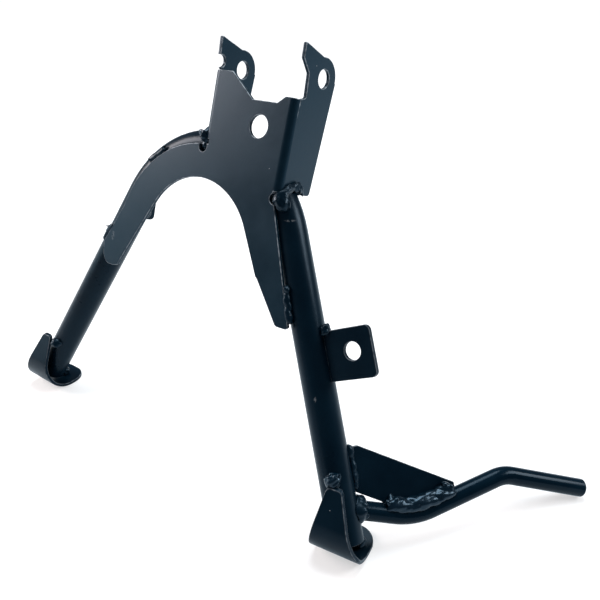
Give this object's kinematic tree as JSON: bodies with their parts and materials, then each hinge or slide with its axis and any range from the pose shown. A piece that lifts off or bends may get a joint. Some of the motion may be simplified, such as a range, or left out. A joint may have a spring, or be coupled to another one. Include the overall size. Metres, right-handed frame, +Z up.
{
  "type": "motorcycle centre stand",
  "caption": "Welded steel centre stand with folded pivot channel, arched tube legs, curled feet, kick bar with gusset, buffer bracket and spring lug.",
  "frame": {"origin": "middle of the pivot axis, midway between the two ears", "axes": "+X along the pivot axis to the viewer's right, towards the kick bar, +Y to the rear, +Z up, with the stand resting on both feet and the tip of the kick bar"},
  "size_m": [0.5145, 0.1917, 0.3403],
  "materials": {
    "black_coat": "semi-gloss black powder coat on steel",
    "weld_coat": "gloss black powder coat over weld beads"
  },
  "bodies": {
    "root": {"saddle_plate": "black_coat", "leg_tube": "black_coat", "left_foot": "black_coat", "right_foot": "black_coat", "kick_bar": "black_coat", "kick_gusset": "black_coat", "buffer_bracket": "black_coat", "spring_lug": "black_coat", "left_fold_weld": "weld_coat", "right_fold_weld": "weld_coat", "left_arm_top_weld": "weld_coat", "left_arm_side_weld": "weld_coat", "right_arm_weld": "weld_coat", "left_foot_weld": "weld_coat", "right_foot_weld": "weld_coat", "left_heel_weld": "weld_coat", "right_heel_weld": "weld_coat", "bracket_weld": "weld_coat", "lug_weld": "weld_coat", "gusset_leg_weld": "weld_coat", "gusset_bar_weld": "weld_coat", "kick_bar_weld": "weld_coat"}
  },
  "joints": []
}
